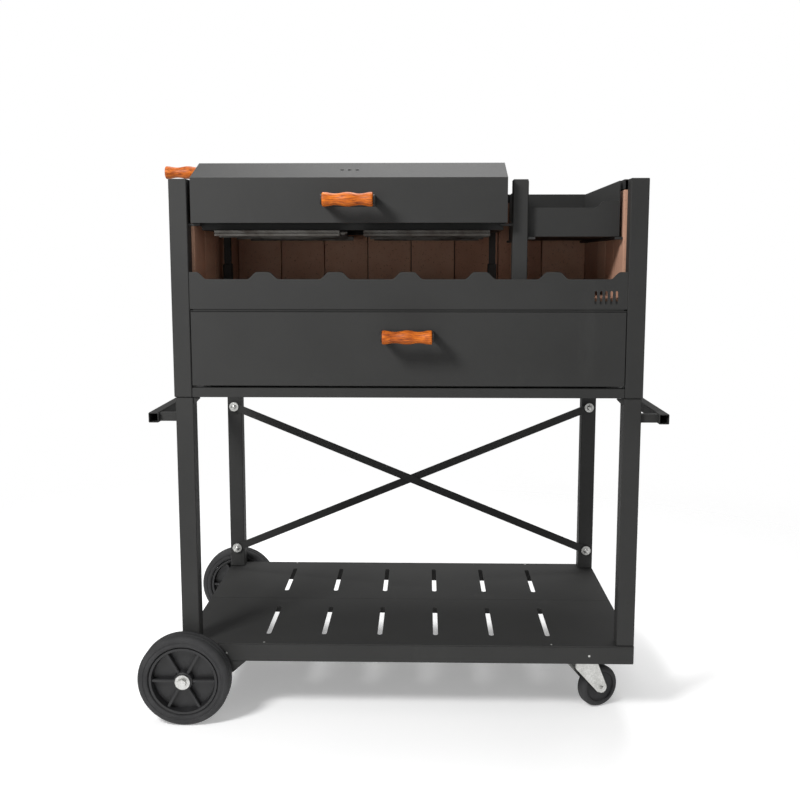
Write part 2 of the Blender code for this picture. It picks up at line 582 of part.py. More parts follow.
# ---------------------------------------------------------------- lid
lid_axis = pivot("lid_hinge_axis", (0, SHAFT_Y, SHAFT_Z))
side_outline = [(0.0, LID_LOW), (0.0, LID_FOLD), (LID_SLOPE_DEPTH, LID_TOP), (LID_BACK, LID_TOP),
                (SHAFT_Y + 0.011, SHAFT_Z + 0.010), (SHAFT_Y + 0.011, SHAFT_Z - 0.0095), (LINING_Y - 0.004, SHAFT_Z - 0.0085),
                (LINING_Y - 0.004, LID_LOW)]
lid_middle = (LID_LEFT + LID_RIGHT) / 2
lid = plate("lid_shell", side_outline, LID_RIGHT - LID_LEFT, (lid_middle, 0, 0), "side", COATED)
inner_outline = [(WALL, LID_LOW - 0.02), (WALL, LID_FOLD - 0.0013), (LID_SLOPE_DEPTH + 0.0004, LID_TOP - WALL),
                 (LID_BACK - WALL, LID_TOP - WALL), (LID_BACK - WALL, LID_LOW - 0.02)]
lid_inside = plate("lid_shell_inside", inner_outline, LID_RIGHT - LID_LEFT - 2 * WALL, (lid_middle, 0, 0), "side")
behind = box("lid_shell_behind", (LID_LEFT + WALL, LID_BACK, LID_LOW), (LID_RIGHT - WALL, SHAFT_Y + 0.02, LID_TOP + 0.01))
eye = cylinder("lid_shell_eye", (lid_middle, SHAFT_Y, SHAFT_Z), (1, 0, 0), SHAFT_R + GAP, 0.8)
cut(lid, lid_inside, behind, eye)
NOTCH_TOP = SHAFT_Z + 0.016
ARM_THICK = 0.006
ARM_LEFT, ARM_RIGHT = -0.4335, 0.1945        # middle of the two lift arms
BEARING_X = (-0.330, 0.090)
BEARING_THICK = 0.006
for number, x in enumerate((ARM_LEFT, ARM_RIGHT, *BEARING_X)):
    reach = 0.007
    cut(lid, box(f"lid_shell_notch_{number}", (x - reach, LID_BACK - 0.006, LID_LOW), (x + reach, LID_BACK + 0.006, NOTCH_TOP)))
for number in range(3):
    vent = cylinder(f"lid_shell_vent_{number}", (-0.1235 + (number - 1) * 0.016, LID_SLOPE_DEPTH / 2, 1.200), (0, 0, 1),
                    0.004, 0.03, sides=16)
    cut(lid, vent)
LID_GRIP_X, LID_GRIP_Z = -0.1212, 1.1341
lid_strap = handle_bracket("lid_bracket", LID_GRIP_X, LID_GRIP_Z, 0)
lid_handle = grip("lid_grip", (LID_GRIP_X, -GRIP_REACH, LID_GRIP_Z), (1, 0, 0))
hang(lid_axis, lid, lid_strap, lid_handle)

# ---------------------------------------------------------------- lever, shaft and lift arms
lever_axis = pivot("lever_axis", (0, SHAFT_Y, SHAFT_Z))
LEVER_X = -0.459
LEVER_THICK = 0.005
shaft_left, shaft_right = LEVER_X - LEVER_THICK / 2 - 0.001, LID_RIGHT + 0.006
shaft = cylinder("lever_shaft", ((shaft_left + shaft_right) / 2, SHAFT_Y, SHAFT_Z), (1, 0, 0), SHAFT_R,
                 shaft_right - shaft_left, STEEL, 20)
HUB_R = 0.009
ARM_HALF = 0.007
for number, x in enumerate((ARM_LEFT, ARM_RIGHT)):
    bend = (LINING_Y - 0.012, SHAFT_Z + 0.001)
    hub_arc = arc((SHAFT_Y, SHAFT_Z), HUB_R, -80, 80, 6)
    tip = (LIFT_Y, LIFT_Z)
    outline = hub_arc + [(SHAFT_Y - 0.02, SHAFT_Z + ARM_HALF), (bend[0], bend[1] + ARM_HALF - 0.001),
                         (tip[0] - 0.004, tip[1] + 0.007), (tip[0] - 0.008, tip[1]), (tip[0] - 0.004, tip[1] - 0.007),
                         (tip[0] + 0.004, tip[1] - 0.008), (bend[0] + 0.004, bend[1] - ARM_HALF - 0.001),
                         (SHAFT_Y - 0.02, SHAFT_Z - ARM_HALF)]
    lift_arm = plate(f"lever_shaft_arm_{number}", outline, ARM_THICK, (x, 0, 0), "side")
    outward = -1 if number == 0 else 1
    pin = cylinder(f"lever_shaft_pin_{number}", (x + outward * 0.0045, LIFT_Y, LIFT_Z), (1, 0, 0), 0.004, 0.011, sides=16)
    join(shaft, join(lift_arm, pin))

LEVER_GRIP_Y, LEVER_GRIP_Z = 0.250, 1.2126
lean = math.atan2(LEVER_GRIP_Z - SHAFT_Z, SHAFT_Y - LEVER_GRIP_Y)
bar_length = math.hypot(LEVER_GRIP_Z - SHAFT_Z, SHAFT_Y - LEVER_GRIP_Y)
strap_outline = slot_outline((0, 0), bar_length + 0.016, 0.016)
turn = Matrix.Rotation(math.pi / 2 - lean, 2)
strap_outline = [tuple(turn @ Vector(p)) for p in strap_outline]
lever_middle = (LEVER_X, (SHAFT_Y + LEVER_GRIP_Y) / 2, (SHAFT_Z + LEVER_GRIP_Z) / 2)
lever_arm = plate("lever_arm", strap_outline, LEVER_THICK, lever_middle, "side", COATED)
cut(lever_arm, cylinder("lever_arm_eye", (LEVER_X, SHAFT_Y, SHAFT_Z), (1, 0, 0), SHAFT_R + GAP, 0.02))
grip_middle = LEVER_X - LEVER_THICK / 2 - 0.0005 - GRIP_LENGTH / 2
lever_grip = grip("lever_grip", (grip_middle, LEVER_GRIP_Y, LEVER_GRIP_Z), (1, 0, 0))
hang(lever_axis, shaft, lever_arm, lever_grip)

for side, x in zip(("left", "right"), BEARING_X):
    sheet = BACK_SHEET + WALL + GAP
    outline = [(sheet, SHAFT_Z - 0.050), (sheet + 0.008, SHAFT_Z - 0.050), (SHAFT_Y + 0.010, SHAFT_Z - 0.020)]
    outline += arc((SHAFT_Y, SHAFT_Z), 0.0105, -10, 190, 10) + [(SHAFT_Y - 0.0105, SHAFT_Z - 0.0115), (sheet, SHAFT_Z - 0.0115)]
    plate(f"shaft_bearing_{side}", outline, BEARING_THICK, (x, 0, 0), "side", COATED, [ring((SHAFT_Y, SHAFT_Z), SHAFT_R + GAP)])

# ---------------------------------------------------------------- grate carriage
carriage_axis = pivot("carriage_slide_axis", (0, LIFT_Y, CARRIAGE_Z))
half = LEG_BAR / 2
left_out, right_out = CARRIAGE_LEFT - half, CARRIAGE_RIGHT + half
CARRIAGE_FRONT, CARRIAGE_BACK = 0.052, 0.528
carriage = box("grate_carriage", (left_out, CARRIAGE_FRONT, CARRIAGE_Z), (right_out, CARRIAGE_BACK, CARRIAGE_Z + LEG_BAR), COATED)
cut(carriage, box("grate_carriage_window", (left_out + LEG_BAR, CARRIAGE_FRONT + LEG_BAR, CARRIAGE_Z - 0.01),
                  (right_out - LEG_BAR, CARRIAGE_BACK - LEG_BAR, CARRIAGE_Z + LEG_BAR + 0.01)))
for number, x in enumerate((CARRIAGE_LEFT, CARRIAGE_RIGHT)):
    outward = -1 if number == 0 else 1
    leg = box(f"grate_carriage_leg_{number}", (x - half, LIFT_Y - half, FLOOR_Z + 0.004),
              (x + half, LIFT_Y + half, CARRIAGE_Z + 0.005))
    xs = sorted((x + outward * 0.0072, x + outward * 0.0035))
    lug = box(f"grate_carriage_lug_{number}", (xs[0], LIFT_Y - 0.026, CARRIAGE_Z + 0.010),
              (xs[1], LIFT_Y + 0.014, LIFT_Z + 0.012))
    slot = box(f"grate_carriage_slot_{number}", (xs[0] - 0.01, LIFT_Y - 0.020, LIFT_Z - 0.0052),
               (xs[1] + 0.01, LIFT_Y + 0.008, LIFT_Z + 0.0052))
    join(carriage, leg, cut(lug, slot))

V_PITCH = 0.024
V_HALF, V_HIGH, V_SHEET = 0.0095, 0.0095, 0.002
GRATE_FRONT, GRATE_REAR = 0.046, 0.525
grates = []
for name, left, right in (("grate_left", -0.410, -0.1465), ("grate_right", -0.0935, 0.1735)):
    count = int((right - left) / V_PITCH)
    middle_x = (left + right) / 2
    span = (count - 1) * V_PITCH / 2
    grate = box(name, (left, GRATE_FRONT + 0.030, GRATE_Z), (right, GRATE_FRONT + 0.036, GRATE_TOP - 0.004), STEEL)
    for label, y in (("middle", (GRATE_FRONT + GRATE_REAR) / 2), ("rear", GRATE_REAR - 0.040)):
        join(grate, box(f"{name}_{label}", (left, y, GRATE_Z), (right, y + 0.006, GRATE_TOP - 0.004)))
    for k in range(count):
        x = middle_x - span + k * V_PITCH
        v = [(x - V_HALF, GRATE_TOP), (x, GRATE_TOP - V_HIGH), (x + V_HALF, GRATE_TOP),
             (x + V_HALF - V_SHEET * 1.2, GRATE_TOP), (x, GRATE_TOP - V_HIGH + V_SHEET * 1.2),
             (x - V_HALF + V_SHEET * 1.2, GRATE_TOP)]
        channel = plate(f"{name}_channel_{k}", v, GRATE_REAR - GRATE_FRONT, (0, (GRATE_FRONT + GRATE_REAR) / 2, 0), "front")
        join(grate, channel)
    # A grease gutter with a folded front lip closes the channels' front ends.
    gutter = [(0.024, 1.0625), (0.0475, 1.0625), (0.0475, 1.0700), (0.0455, 1.0700), (0.0455, 1.0645),
              (0.0280, 1.0645), (0.0280, 1.0740), (0.0240, 1.0740), (0.0240, 1.0692), (0.0258, 1.0686), (0.0258, 1.0677),
              (0.0240, 1.0671)]
    join(grate, plate(f"{name}_gutter", gutter, right - left, (middle_x, 0, 0), "side"))
    if name == "grate_left":
        cap = box(f"{name}_cap", (right - 0.001, 0.0245, 1.0630), (right + 0.002, 0.0470, 1.0735))
        stud = cylinder(f"{name}_stud", (right + 0.0085, 0.036, 1.0700), (1, 0, 0), 0.003, 0.019, sides=16)
        nut = cylinder(f"{name}_nut", (right + 0.0085, 0.036, 1.0700), (1, 0, 0), 0.0055, 0.009, sides=6)
        join(grate, cap, stud, nut)
    grates.append(grate)
hang(carriage_axis, carriage, *grates)

# ---------------------------------------------------------------- warming tray
TRAY_LEFT, TRAY_RIGHT, TRAY_FRONT, TRAY_BACK = 0.2550, 0.4490, 0.050, 0.545
TRAY_LOW, TRAY_FRONT_TOP, TRAY_STEP, TRAY_HIGH = 1.0615, 1.122, 1.136, 1.178
tray_axis = pivot("tray_lift_axis", ((TRAY_LEFT + TRAY_RIGHT) / 2, (TRAY_FRONT + TRAY_BACK) / 2, TRAY_LOW))
tray = box("warming_tray", (TRAY_LEFT, TRAY_FRONT, TRAY_LOW), (TRAY_RIGHT, TRAY_BACK, TRAY_HIGH), COATED)
cut(tray, box("warming_tray_inside", (TRAY_LEFT + WALL, TRAY_FRONT + WALL, TRAY_LOW + WALL),
              (TRAY_RIGHT - WALL, TRAY_BACK - WALL, TRAY_HIGH + 0.01)))
step_x = 0.4135
away = TRAY_RIGHT - WALL
outline = [(TRAY_LEFT - 0.01, TRAY_FRONT_TOP), (step_x - 0.016, TRAY_FRONT_TOP), (step_x - 0.008, TRAY_FRONT_TOP + 0.004),
           (step_x - 0.002, TRAY_STEP - 0.002), (step_x + 0.006, TRAY_STEP), (away, TRAY_STEP), (away, TRAY_HIGH + 0.01),
           (TRAY_LEFT - 0.01, TRAY_HIGH + 0.01)]
cut(tray, plate("warming_tray_front_cut", outline, 0.02, (0, TRAY_FRONT, 0), "front"))
hang(tray_axis, tray)

for obj in model.objects:
    if obj.type == "MESH":
        obj.data.shade_smooth()
        obj.data.set_sharp_from_angle(angle=math.radians(35))
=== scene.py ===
# %% [markdown]
# # A cart grill with a firebrick hearth
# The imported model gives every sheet, tube, hinge and wheel in its place. This notebook loads it as a fixed
# frame and then gives each piece its real finish: textured powder coat, firebrick, turned wood, zinc and
# rubber. Pieces whose fine shape matters, such as bricks, grips and tyres, are made again here and stand
# for the plain ones.

# %% The frame
import json
import math

import bmesh
import bpy
from mathutils import Matrix, Vector, noise


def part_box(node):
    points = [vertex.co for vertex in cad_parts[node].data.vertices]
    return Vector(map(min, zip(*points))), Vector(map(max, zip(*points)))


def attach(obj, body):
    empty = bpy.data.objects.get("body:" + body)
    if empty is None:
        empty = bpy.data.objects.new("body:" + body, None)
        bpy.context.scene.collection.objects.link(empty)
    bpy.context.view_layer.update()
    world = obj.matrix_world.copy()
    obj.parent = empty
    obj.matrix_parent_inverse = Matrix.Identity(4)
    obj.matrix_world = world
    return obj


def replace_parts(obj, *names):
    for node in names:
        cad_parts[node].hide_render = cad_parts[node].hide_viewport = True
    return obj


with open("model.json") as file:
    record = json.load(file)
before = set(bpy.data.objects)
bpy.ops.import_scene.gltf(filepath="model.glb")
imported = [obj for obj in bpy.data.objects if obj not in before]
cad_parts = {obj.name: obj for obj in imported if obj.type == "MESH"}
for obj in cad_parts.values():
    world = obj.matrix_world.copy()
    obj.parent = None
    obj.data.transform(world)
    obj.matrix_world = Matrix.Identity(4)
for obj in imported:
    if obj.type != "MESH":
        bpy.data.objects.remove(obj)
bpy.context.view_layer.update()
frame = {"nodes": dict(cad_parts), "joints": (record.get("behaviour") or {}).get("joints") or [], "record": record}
nodes = frame["nodes"]


def box(name):
    """A node's lowest and highest corner, as vectors."""
    return tuple(Vector(corner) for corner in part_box(name))


post_low = box("post_front_left")[0]
CART_X = (post_low.x + box("post_front_right")[1].x) / 2
FRONT_Y = post_low.y
print("cart centre x", round(CART_X, 4), "front plane y", round(FRONT_Y, 4))

# %% [markdown]
# ## Camera
# The camera comes first, because it decides which details are worth making. It stands a little over two
# metres in front of the grill and a little right of its middle, at chest height, and looks slightly down. A
# lens of 46 mm on a 36 mm sensor gives the same perspective as standing there.

# %% Camera
CAMERA_OFFSET = Vector((0.0366, -2.1727, 1.0147))   # from the front plane's foot, in metres
LOOK_DOWN = 0.1366                                   # radians
LOOK_LEFT = 0.0241
LENS = 46.26

camera_data = bpy.data.cameras.new("camera")
camera_data.lens = LENS
camera_data.sensor_width = 36
camera_data.clip_start = 0.05
camera = bpy.data.objects.new("camera", camera_data)
bpy.context.scene.collection.objects.link(camera)
camera.location = Vector((CART_X, FRONT_Y, 0)) + CAMERA_OFFSET
sight = Vector((-math.sin(LOOK_LEFT) * math.cos(LOOK_DOWN), math.cos(LOOK_LEFT) * math.cos(LOOK_DOWN),
                -math.sin(LOOK_DOWN)))
camera.rotation_euler = sight.to_track_quat("-Z", "Y").to_euler()
bpy.context.scene.camera = camera
print("camera at", [round(v, 3) for v in camera.location])

# %% [markdown]
# ## Studio
# A pale floor that runs out of sight, a bright even background and four large soft lamps. The stronger lamp
# hangs high at the front left, so the coated sheets are palest at the upper left.

# %% Floor, background and lamps
FLOOR_SIZE = 30
floor_mesh = bpy.data.meshes.new("studio_floor")
half = FLOOR_SIZE / 2
corners = [(-half, -half, 0), (half, -half, 0), (half, half, 0), (-half, half, 0)]
floor_mesh.from_pydata(corners, [], [(0, 1, 2, 3)])
floor = bpy.data.objects.new("studio_floor", floor_mesh)
bpy.context.scene.collection.objects.link(floor)

world = bpy.data.worlds.new("studio")
bpy.context.scene.world = world
world.use_nodes = True
backdrop = world.node_tree.nodes["Background"]
backdrop.inputs["Color"].default_value = (1.0, 1.0, 1.0, 1)
AMBIENT = 0.33          # the backdrop is white to the eye, and lights the grill with less than that
seen = world.node_tree.nodes.new("ShaderNodeLightPath")
strength = world.node_tree.nodes.new("ShaderNodeMapRange")
strength.inputs["To Min"].default_value = AMBIENT
strength.inputs["To Max"].default_value = 1.0
world.node_tree.links.new(seen.outputs["Is Camera Ray"], strength.inputs["Value"])
world.node_tree.links.new(strength.outputs["Result"], backdrop.inputs["Strength"])


def lamp(name, place, aim, size, power):
    data = bpy.data.lights.new(name, "AREA")
    data.shape = "RECTANGLE"
    data.size, data.size_y = size
    data.energy = power
    light = bpy.data.objects.new(name, data)
    bpy.context.scene.collection.objects.link(light)
    light.location = place
    light.rotation_euler = (Vector(aim) - Vector(place)).to_track_quat("-Z", "Y").to_euler()
    return light


lamp("key_lamp", (-1.6, -2.2, 2.5), (-0.1, 0, 1.05), (0.7, 0.7), 86)
lamp("low_lamp", (-0.9, -3.1, 0.95), (0, 0, 1.0), (1.6, 0.8), 10)
lamp("fill_lamp", (2.6, -2.6, 1.4), (0, 0, 0.8), (1.6, 1.6), 8)
lamp("top_lamp", (0.2, 1.0, 3.4), (0, 0, 1.0), (2.0, 2.0), 78)
bpy.context.scene.view_settings.view_transform = "Standard"
print("studio ready")

# %% [markdown]
# ## Writing shaders as sums
# A material is a graph of nodes, which is slow to read. One class wraps a socket, so that an expression
# such as `1 - mask * 0.4` adds its own Math nodes, and one method adds any other node.

# %% Shader tools


class Value:
    """A socket in a material, which can be added, multiplied and compared like a number."""

    def __init__(self, finish, socket):
        self.finish, self.socket = finish, socket

    def maths(self, operation, *others, clamp=False):
        settings = {"operation": operation, "use_clamp": clamp}
        return self.finish.node("ShaderNodeMath", settings, dict(enumerate((self, *others))))

    def __add__(self, other):
        return self.maths("ADD", other)

    __radd__ = __add__

    def __mul__(self, other):
        return self.maths("MULTIPLY", other)

    __rmul__ = __mul__

    def __sub__(self, other):
        return self.maths("SUBTRACT", other)

    def __rsub__(self, other):
        return self.finish.node("ShaderNodeMath", {"operation": "SUBTRACT"}, {0: other, 1: self})

    def all(self):
        """Every output of this socket's own node, such as X, Y and Z."""
        return [Value(self.finish, socket) for socket in self.socket.node.outputs]

    def between(self, low, high):
        """0 below low, 1 above high, and smooth in between."""
        return self.finish.node("ShaderNodeMapRange", {"interpolation_type": "SMOOTHSTEP"},
                                {"Value": self, "From Min": low, "From Max": high}, "Result")


class Finish:
    """A material with one Principled shader."""

    def __init__(self, name, colour, roughness, metallic=0.0, **fixed):
        self.made = bpy.data.materials.new(name)
        self.made.use_nodes = True
        self.shader = self.made.node_tree.nodes["Principled BSDF"]
        self.set("Base Color", (*colour, 1))
        self.set("Roughness", roughness)
        self.set("Metallic", metallic)
        for name_of, value in fixed.items():
            self.set(name_of.replace("_", " "), value)
        self.made.diffuse_color = (*colour, 1)

    def plug(self, socket, value):
        if isinstance(value, Value):
            self.made.node_tree.links.new(value.socket, socket)
        else:
            socket.default_value = value

    def set(self, name, value):
        self.plug(self.shader.inputs[name], value)

    def node(self, kind, settings, sockets, output=0):
        """Adds a node: its settings first, then its sockets' values or links. A ramp's stops are a setting."""
        made = self.made.node_tree.nodes.new(kind)
        for name, value in settings.items():
            if name == "stops":
                for stop, (place, colour) in zip(self.stops(made, len(value)), value):
                    stop.position, stop.color = place, (*colour, 1)
            else:
                setattr(made, name, value)
        for name, value in sockets.items():
            self.plug(made.inputs[name], value)
        return Value(self, made.outputs[output])

    @staticmethod
    def stops(ramp, count):
        elements = ramp.color_ramp.elements
        while len(elements) < count:
            elements.new(0.5)
        return elements

    def place(self):
        return self.node("ShaderNodeTexCoord", {}, {}, "Object")

    def stretched(self, scale):
        return self.node("ShaderNodeVectorMath", {"operation": "MULTIPLY"}, {0: self.place(), 1: scale})

    def noise(self, scale, detail=3.0, rough=0.5, vector=None):
        return self.node("ShaderNodeTexNoise", {}, {"Vector": vector or self.place(), "Scale": scale,
                                                    "Detail": detail, "Roughness": rough}, "Fac")

    def ramp(self, value, stops):
        return self.node("ShaderNodeValToRGB", {"stops": stops}, {"Fac": value}, "Color")

    def mix(self, amount, first, second):
        return self.node("ShaderNodeMix", {"data_type": "RGBA"}, {0: amount, 6: first, 7: second}, 2)

    def bump(self, height, strength, distance):
        self.set("Normal", self.node("ShaderNodeBump", {}, {"Height": height, "Strength": strength,
                                                             "Distance": distance}, "Normal"))


print("shader tools ready")

# %% [markdown]
# ## Powder coat
# The sheets and tubes wear a matt, finely textured charcoal coat. Its grain is about half a millimetre,
# fine enough to read as a soft sparkle and not as bumps. A broad, faint mottle keeps large sheets from
# looking like paint on a screen, and a few paler rub marks catch the light.

# %% Powder coat


def powder_coat(name="textured_powder_coat", tone=0.40):
    coat = Finish(name, (0.06, 0.06, 0.058), 0.55, Specular_IOR_Level=0.30)
    mottle = coat.noise(3.5, 4.0, 0.6)
    grain = coat.noise(1500, 2.0, 0.7)
    coarse = coat.noise(420, 2.0, 0.5)
    rubbed = coat.noise(9, 6.0, 0.7, coat.stretched((1, 1, 0.35))).between(0.60, 0.78)
    shade = coat.ramp(mottle * 0.6 + grain * 0.4, [(0.3, (0.050 * tone, 0.050 * tone, 0.0485 * tone)),
                                                  (0.7, (0.078 * tone, 0.078 * tone, 0.0755 * tone))])
    coat.set("Base Color", coat.mix(rubbed * 0.25, shade, (0.105 * tone, 0.105 * tone, 0.100 * tone, 1)))
    coat.set("Roughness", 0.50 + mottle * 0.10 + grain * 0.12 - rubbed * 0.06)
    coat.bump(grain + coarse * 0.8, 0.35, 0.0006)
    return coat.made


COAT = powder_coat()
print("coat:", COAT.name)

# %% [markdown]
# ## Bare and zinc-plated steel
# The grates are brushed steel that fire has begun to stain brown and blue, and their colour is darkened further as
# painted shade, for the shade they sit in under the lid. Bolts, washers and the casters'
# forks are zinc plated: pale, a little cloudy, with a faint crystal pattern.

# %% Steels


def zinc():
    plated = Finish("zinc_plate", (0.62, 0.62, 0.60), 0.36, 1.0)
    cloud = plated.noise(60, 4.0, 0.6)
    crystal = plated.node("ShaderNodeTexVoronoi", {}, {"Vector": plated.place(), "Scale": 350}, "Distance")
    stops = [(0.25, (0.42, 0.42, 0.40)), (0.7, (0.72, 0.72, 0.70))]
    plated.set("Base Color", plated.ramp(cloud * 0.7 + crystal * 0.3, stops))
    plated.set("Roughness", 0.28 + cloud * 0.25)
    plated.bump(cloud + crystal * 0.4, 0.12, 0.0004)
    return plated.made


def grate_steel():
    steel = Finish("fired_and_shaded_steel", (0.35, 0.33, 0.30), 0.42, 1.0)
    brushed = steel.noise(30, 4.0, 0.7, steel.stretched((40, 1, 40)))
    # painted shade: the base is kept far darker than bare steel and the stain heavy, for the shade the grates sit
    # in under the lid; the stain is also real fire stain
    stain_and_shade = steel.noise(11, 5.0, 0.65).between(0.42, 0.70)
    base = steel.ramp(brushed, [(0.3, (0.040, 0.038, 0.036)), (0.7, (0.13, 0.125, 0.115))])
    steel.set("Base Color", steel.mix(stain_and_shade * 0.8, base, (0.026, 0.018, 0.014, 1)))
    steel.set("Roughness", 0.34 + brushed * 0.18 + stain_and_shade * 0.20)
    steel.bump(brushed, 0.15, 0.0004)
    return steel.made


ZINC, STEEL = zinc(), grate_steel()
print("steels:", ZINC.name, STEEL.name)

# %% [markdown]
# ## Firebrick
# Firebricks are pressed from pale clay: salmon to beige, each a slightly different tone, with sandy grain,
# small pits and a few dark specks. Each brick carries a number of its own in the attribute `brick_tone`,
# which the geometry below writes, and the colour reads it.

# %% Firebrick finish


def firebrick(name="firebrick_clay", paving=None):
    """paving holds (corner, pitch) of the joints to score into a plain block, along X and Y."""
    clay = Finish(name, (0.56, 0.36, 0.25), 0.92)
    tone = clay.node("ShaderNodeAttribute", {"attribute_name": "brick_tone"}, {}, "Fac")
    cloud = clay.noise(16, 5.0, 0.6)
    sand = clay.noise(900, 2.0, 0.6)
    pits = 1 - clay.noise(230, 3.0, 0.6).between(0.30, 0.40)
    base = clay.ramp(tone * 0.55 + cloud * 0.45, [(0.15, (0.39, 0.200, 0.130)), (0.50, (0.50, 0.270, 0.180)),
                                                 (0.85, (0.60, 0.370, 0.260))])
    sandy = clay.mix(sand.between(0.35, 0.75) * 0.35, base, (0.60, 0.43, 0.32, 1))
    dark = pits * 0.6
    if paving:
        from_corner = clay.node("ShaderNodeVectorMath", {"operation": "SUBTRACT"}, {0: clay.place(), 1: paving[0]})
        parts = clay.node("ShaderNodeSeparateXYZ", {}, {"Vector": from_corner}).all()
        joints = [1 - parts[axis].maths("PINGPONG", paving[1][axis] / 2).between(0.0008, 0.0020) for axis in (0, 1)]
        dark = dark.maths("MAXIMUM", joints[0].maths("MAXIMUM", joints[1]) * 0.9)
    clay.set("Base Color", clay.mix(dark, sandy, (0.16, 0.09, 0.06, 1)))
    clay.set("Roughness", 0.86 + sand * 0.1)
    clay.bump(sand * 0.5 + cloud - dark, 0.5, 0.001)
    return clay.made


paved_low, paved_high = box("lining_floor")
PAVER = ((paved_high.x - paved_low.x) / 8, (paved_high.y - paved_low.y) / 3)
CLAY = firebrick()
PAVING = firebrick("firebrick_paving", (tuple(paved_low), PAVER))
print("bricks' finishes:", CLAY.name, PAVING.name)

# %% [markdown]
# ## Turned wood, plastic and rubber
# The grips are turned from an orange-brown hardwood, oiled to a satin. The grain runs along the grip, so
# its noise is stretched along X, the grips' own direction, and bent by a slower noise. The wheels are black
# moulded plastic and dull grey-black rubber.

# %% Wood, plastic and rubber


def turned_wood():
    wood = Finish("oiled_hardwood", (0.52, 0.17, 0.04), 0.38, Coat_Roughness=0.35, Specular_IOR_Level=0.3)
    bend = wood.noise(12, 2.0, 0.5)
    streaks = wood.noise(26, 5.0, 0.6, wood.stretched((1.3, 14, 14)))
    fibre = wood.noise(160, 3.0, 0.6, wood.stretched((1.0, 18, 18)))
    figure = streaks * 0.65 + bend * 0.2 + fibre * 0.2
    colour = wood.ramp(figure, [(0.36, (0.075, 0.014, 0.003)), (0.46, (0.32, 0.062, 0.004)),
                                (0.58, (0.60, 0.140, 0.006)), (0.72, (0.78, 0.240, 0.018))])
    wood.set("Base Color", colour)
    wood.set("Roughness", 0.44 + fibre * 0.18)
    wood.set("Coat Weight", 0.08)
    wood.bump(fibre + streaks * 0.5, 0.18, 0.0006)
    return wood.made


def moulded_plastic():
    plastic = Finish("moulded_black_plastic", (0.02, 0.02, 0.02), 0.42)
    grain = plastic.noise(900, 2.0, 0.6)
    cloud = plastic.noise(20, 3.0, 0.5)
    plastic.set("Base Color", plastic.ramp(cloud, [(0.3, (0.007, 0.007, 0.0075)), (0.7, (0.014, 0.014, 0.015))]))
    plastic.set("Roughness", 0.34 + cloud * 0.16 + grain * 0.08)
    plastic.bump(grain, 0.2, 0.0003)
    return plastic.made


def rubber():
    dull = Finish("dull_grey_rubber", (0.04, 0.04, 0.042), 0.75)
    dust = dull.noise(26, 5.0, 0.6)
    grain = dull.noise(1100, 2.0, 0.6)
    dull.set("Base Color", dull.ramp(dust, [(0.3, (0.012, 0.012, 0.013)), (0.75, (0.034, 0.034, 0.035))]))
    dull.set("Roughness", 0.68 + dust * 0.2)
    dull.bump(grain, 0.25, 0.0004)
    return dull.made


WOOD, PLASTIC, RUBBER = turned_wood(), moulded_plastic(), rubber()
print("finishes:", WOOD.name, PLASTIC.name, RUBBER.name)

floor_finish = Finish("studio_floor", (0.90, 0.90, 0.90), 0.6)
patch = floor_finish.noise(1.5, 2.0, 0.5)
floor_finish.set("Base Color", floor_finish.ramp(patch, [(0.2, (0.91, 0.91, 0.91)), (0.8, (0.95, 0.95, 0.95))]))
from_middle = floor_finish.node("ShaderNodeVectorMath", {"operation": "LENGTH"}, {0: floor_finish.place()},
                                "Value")
floor_finish.set("Emission Color", (1, 1, 1, 1))
floor_finish.set("Emission Strength", 0.27)
floor_finish.set("Alpha", 1 - from_middle.between(0.75, 2.6))
floor_mesh.materials.append(floor_finish.made)

# %% [markdown]
# ## Finishes for the pieces that keep their shape
# Most sheet and tube pieces are already right, so only their material slots change. The record says which
# slot each node belongs to, and one table says which finish each slot gets.

# %% Dress the frame's own pieces
FINISH_OF_SLOT = {"powder_coat": COAT, "firebrick": CLAY, "turned_wood": WOOD, "tyre_rubber": RUBBER,
                  "caster_rubber": RUBBER, "black_plastic": PLASTIC, "zinc": ZINC, "bare_steel": STEEL}
slot_of = {entry["node"]: entry["material_slot"] for entry in frame["record"]["subparts"]}
for name, node in nodes.items():
    node.data.materials.clear()
    node.data.materials.append(FINISH_OF_SLOT[slot_of[name]])
nodes["lining_floor"].data.materials[0] = PAVING
print("dressed", len(nodes), "nodes")

# %% [markdown]
# ## Making new pieces
# Four helpers serve the pieces below. `piece` links a mesh, gives it its finish and says which body it rides on.
# `turned` sweeps a profile round an axis. `evaluated` turns the result of a Geometry
# Nodes tree into a plain mesh, because a finished piece carries no tree.

# %% Helpers for pieces


def piece(name, mesh, body, finish, smooth=35):
    obj = bpy.data.objects.new(name, mesh)
    bpy.context.scene.collection.objects.link(obj)
    mesh.materials.clear()
    mesh.materials.append(finish)
    mesh.shade_smooth()
    mesh.set_sharp_from_angle(angle=math.radians(smooth))
    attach(obj, body)
    return obj


def turned(name, profile, centre, axis, sides):
    """A mesh swept from (radius, height) points. Points on the axis close the ends, and a ring that comes back to
    its start is closed as a ring."""
    work = bmesh.new()
    rows = []
    for radius, height in profile:
        if radius < 1e-7:
            rows.append([work.verts.new((0, 0, height))])
            continue
        rows.append([work.verts.new((radius * math.cos(a), radius * math.sin(a), height))
                     for a in (2 * math.pi * i / sides for i in range(sides))])
    for first, second in zip(rows, rows[1:]):
        for i in range(sides):
            j = (i + 1) % sides
            corners = [first[i % len(first)], first[j % len(first)],
                       second[j % len(second)], second[i % len(second)]]
            work.faces.new(list(dict.fromkeys(corners)))
    bmesh.ops.remove_doubles(work, verts=work.verts, dist=1e-6)
    bmesh.ops.recalc_face_normals(work, faces=work.faces)
    turn = Vector((0, 0, 1)).rotation_difference(Vector(axis)).to_matrix().to_4x4()
    bmesh.ops.transform(work, matrix=Matrix.Translation(centre) @ turn, verts=work.verts)
    mesh = bpy.data.meshes.new(name)
    work.to_mesh(mesh)
    work.free()
    return mesh


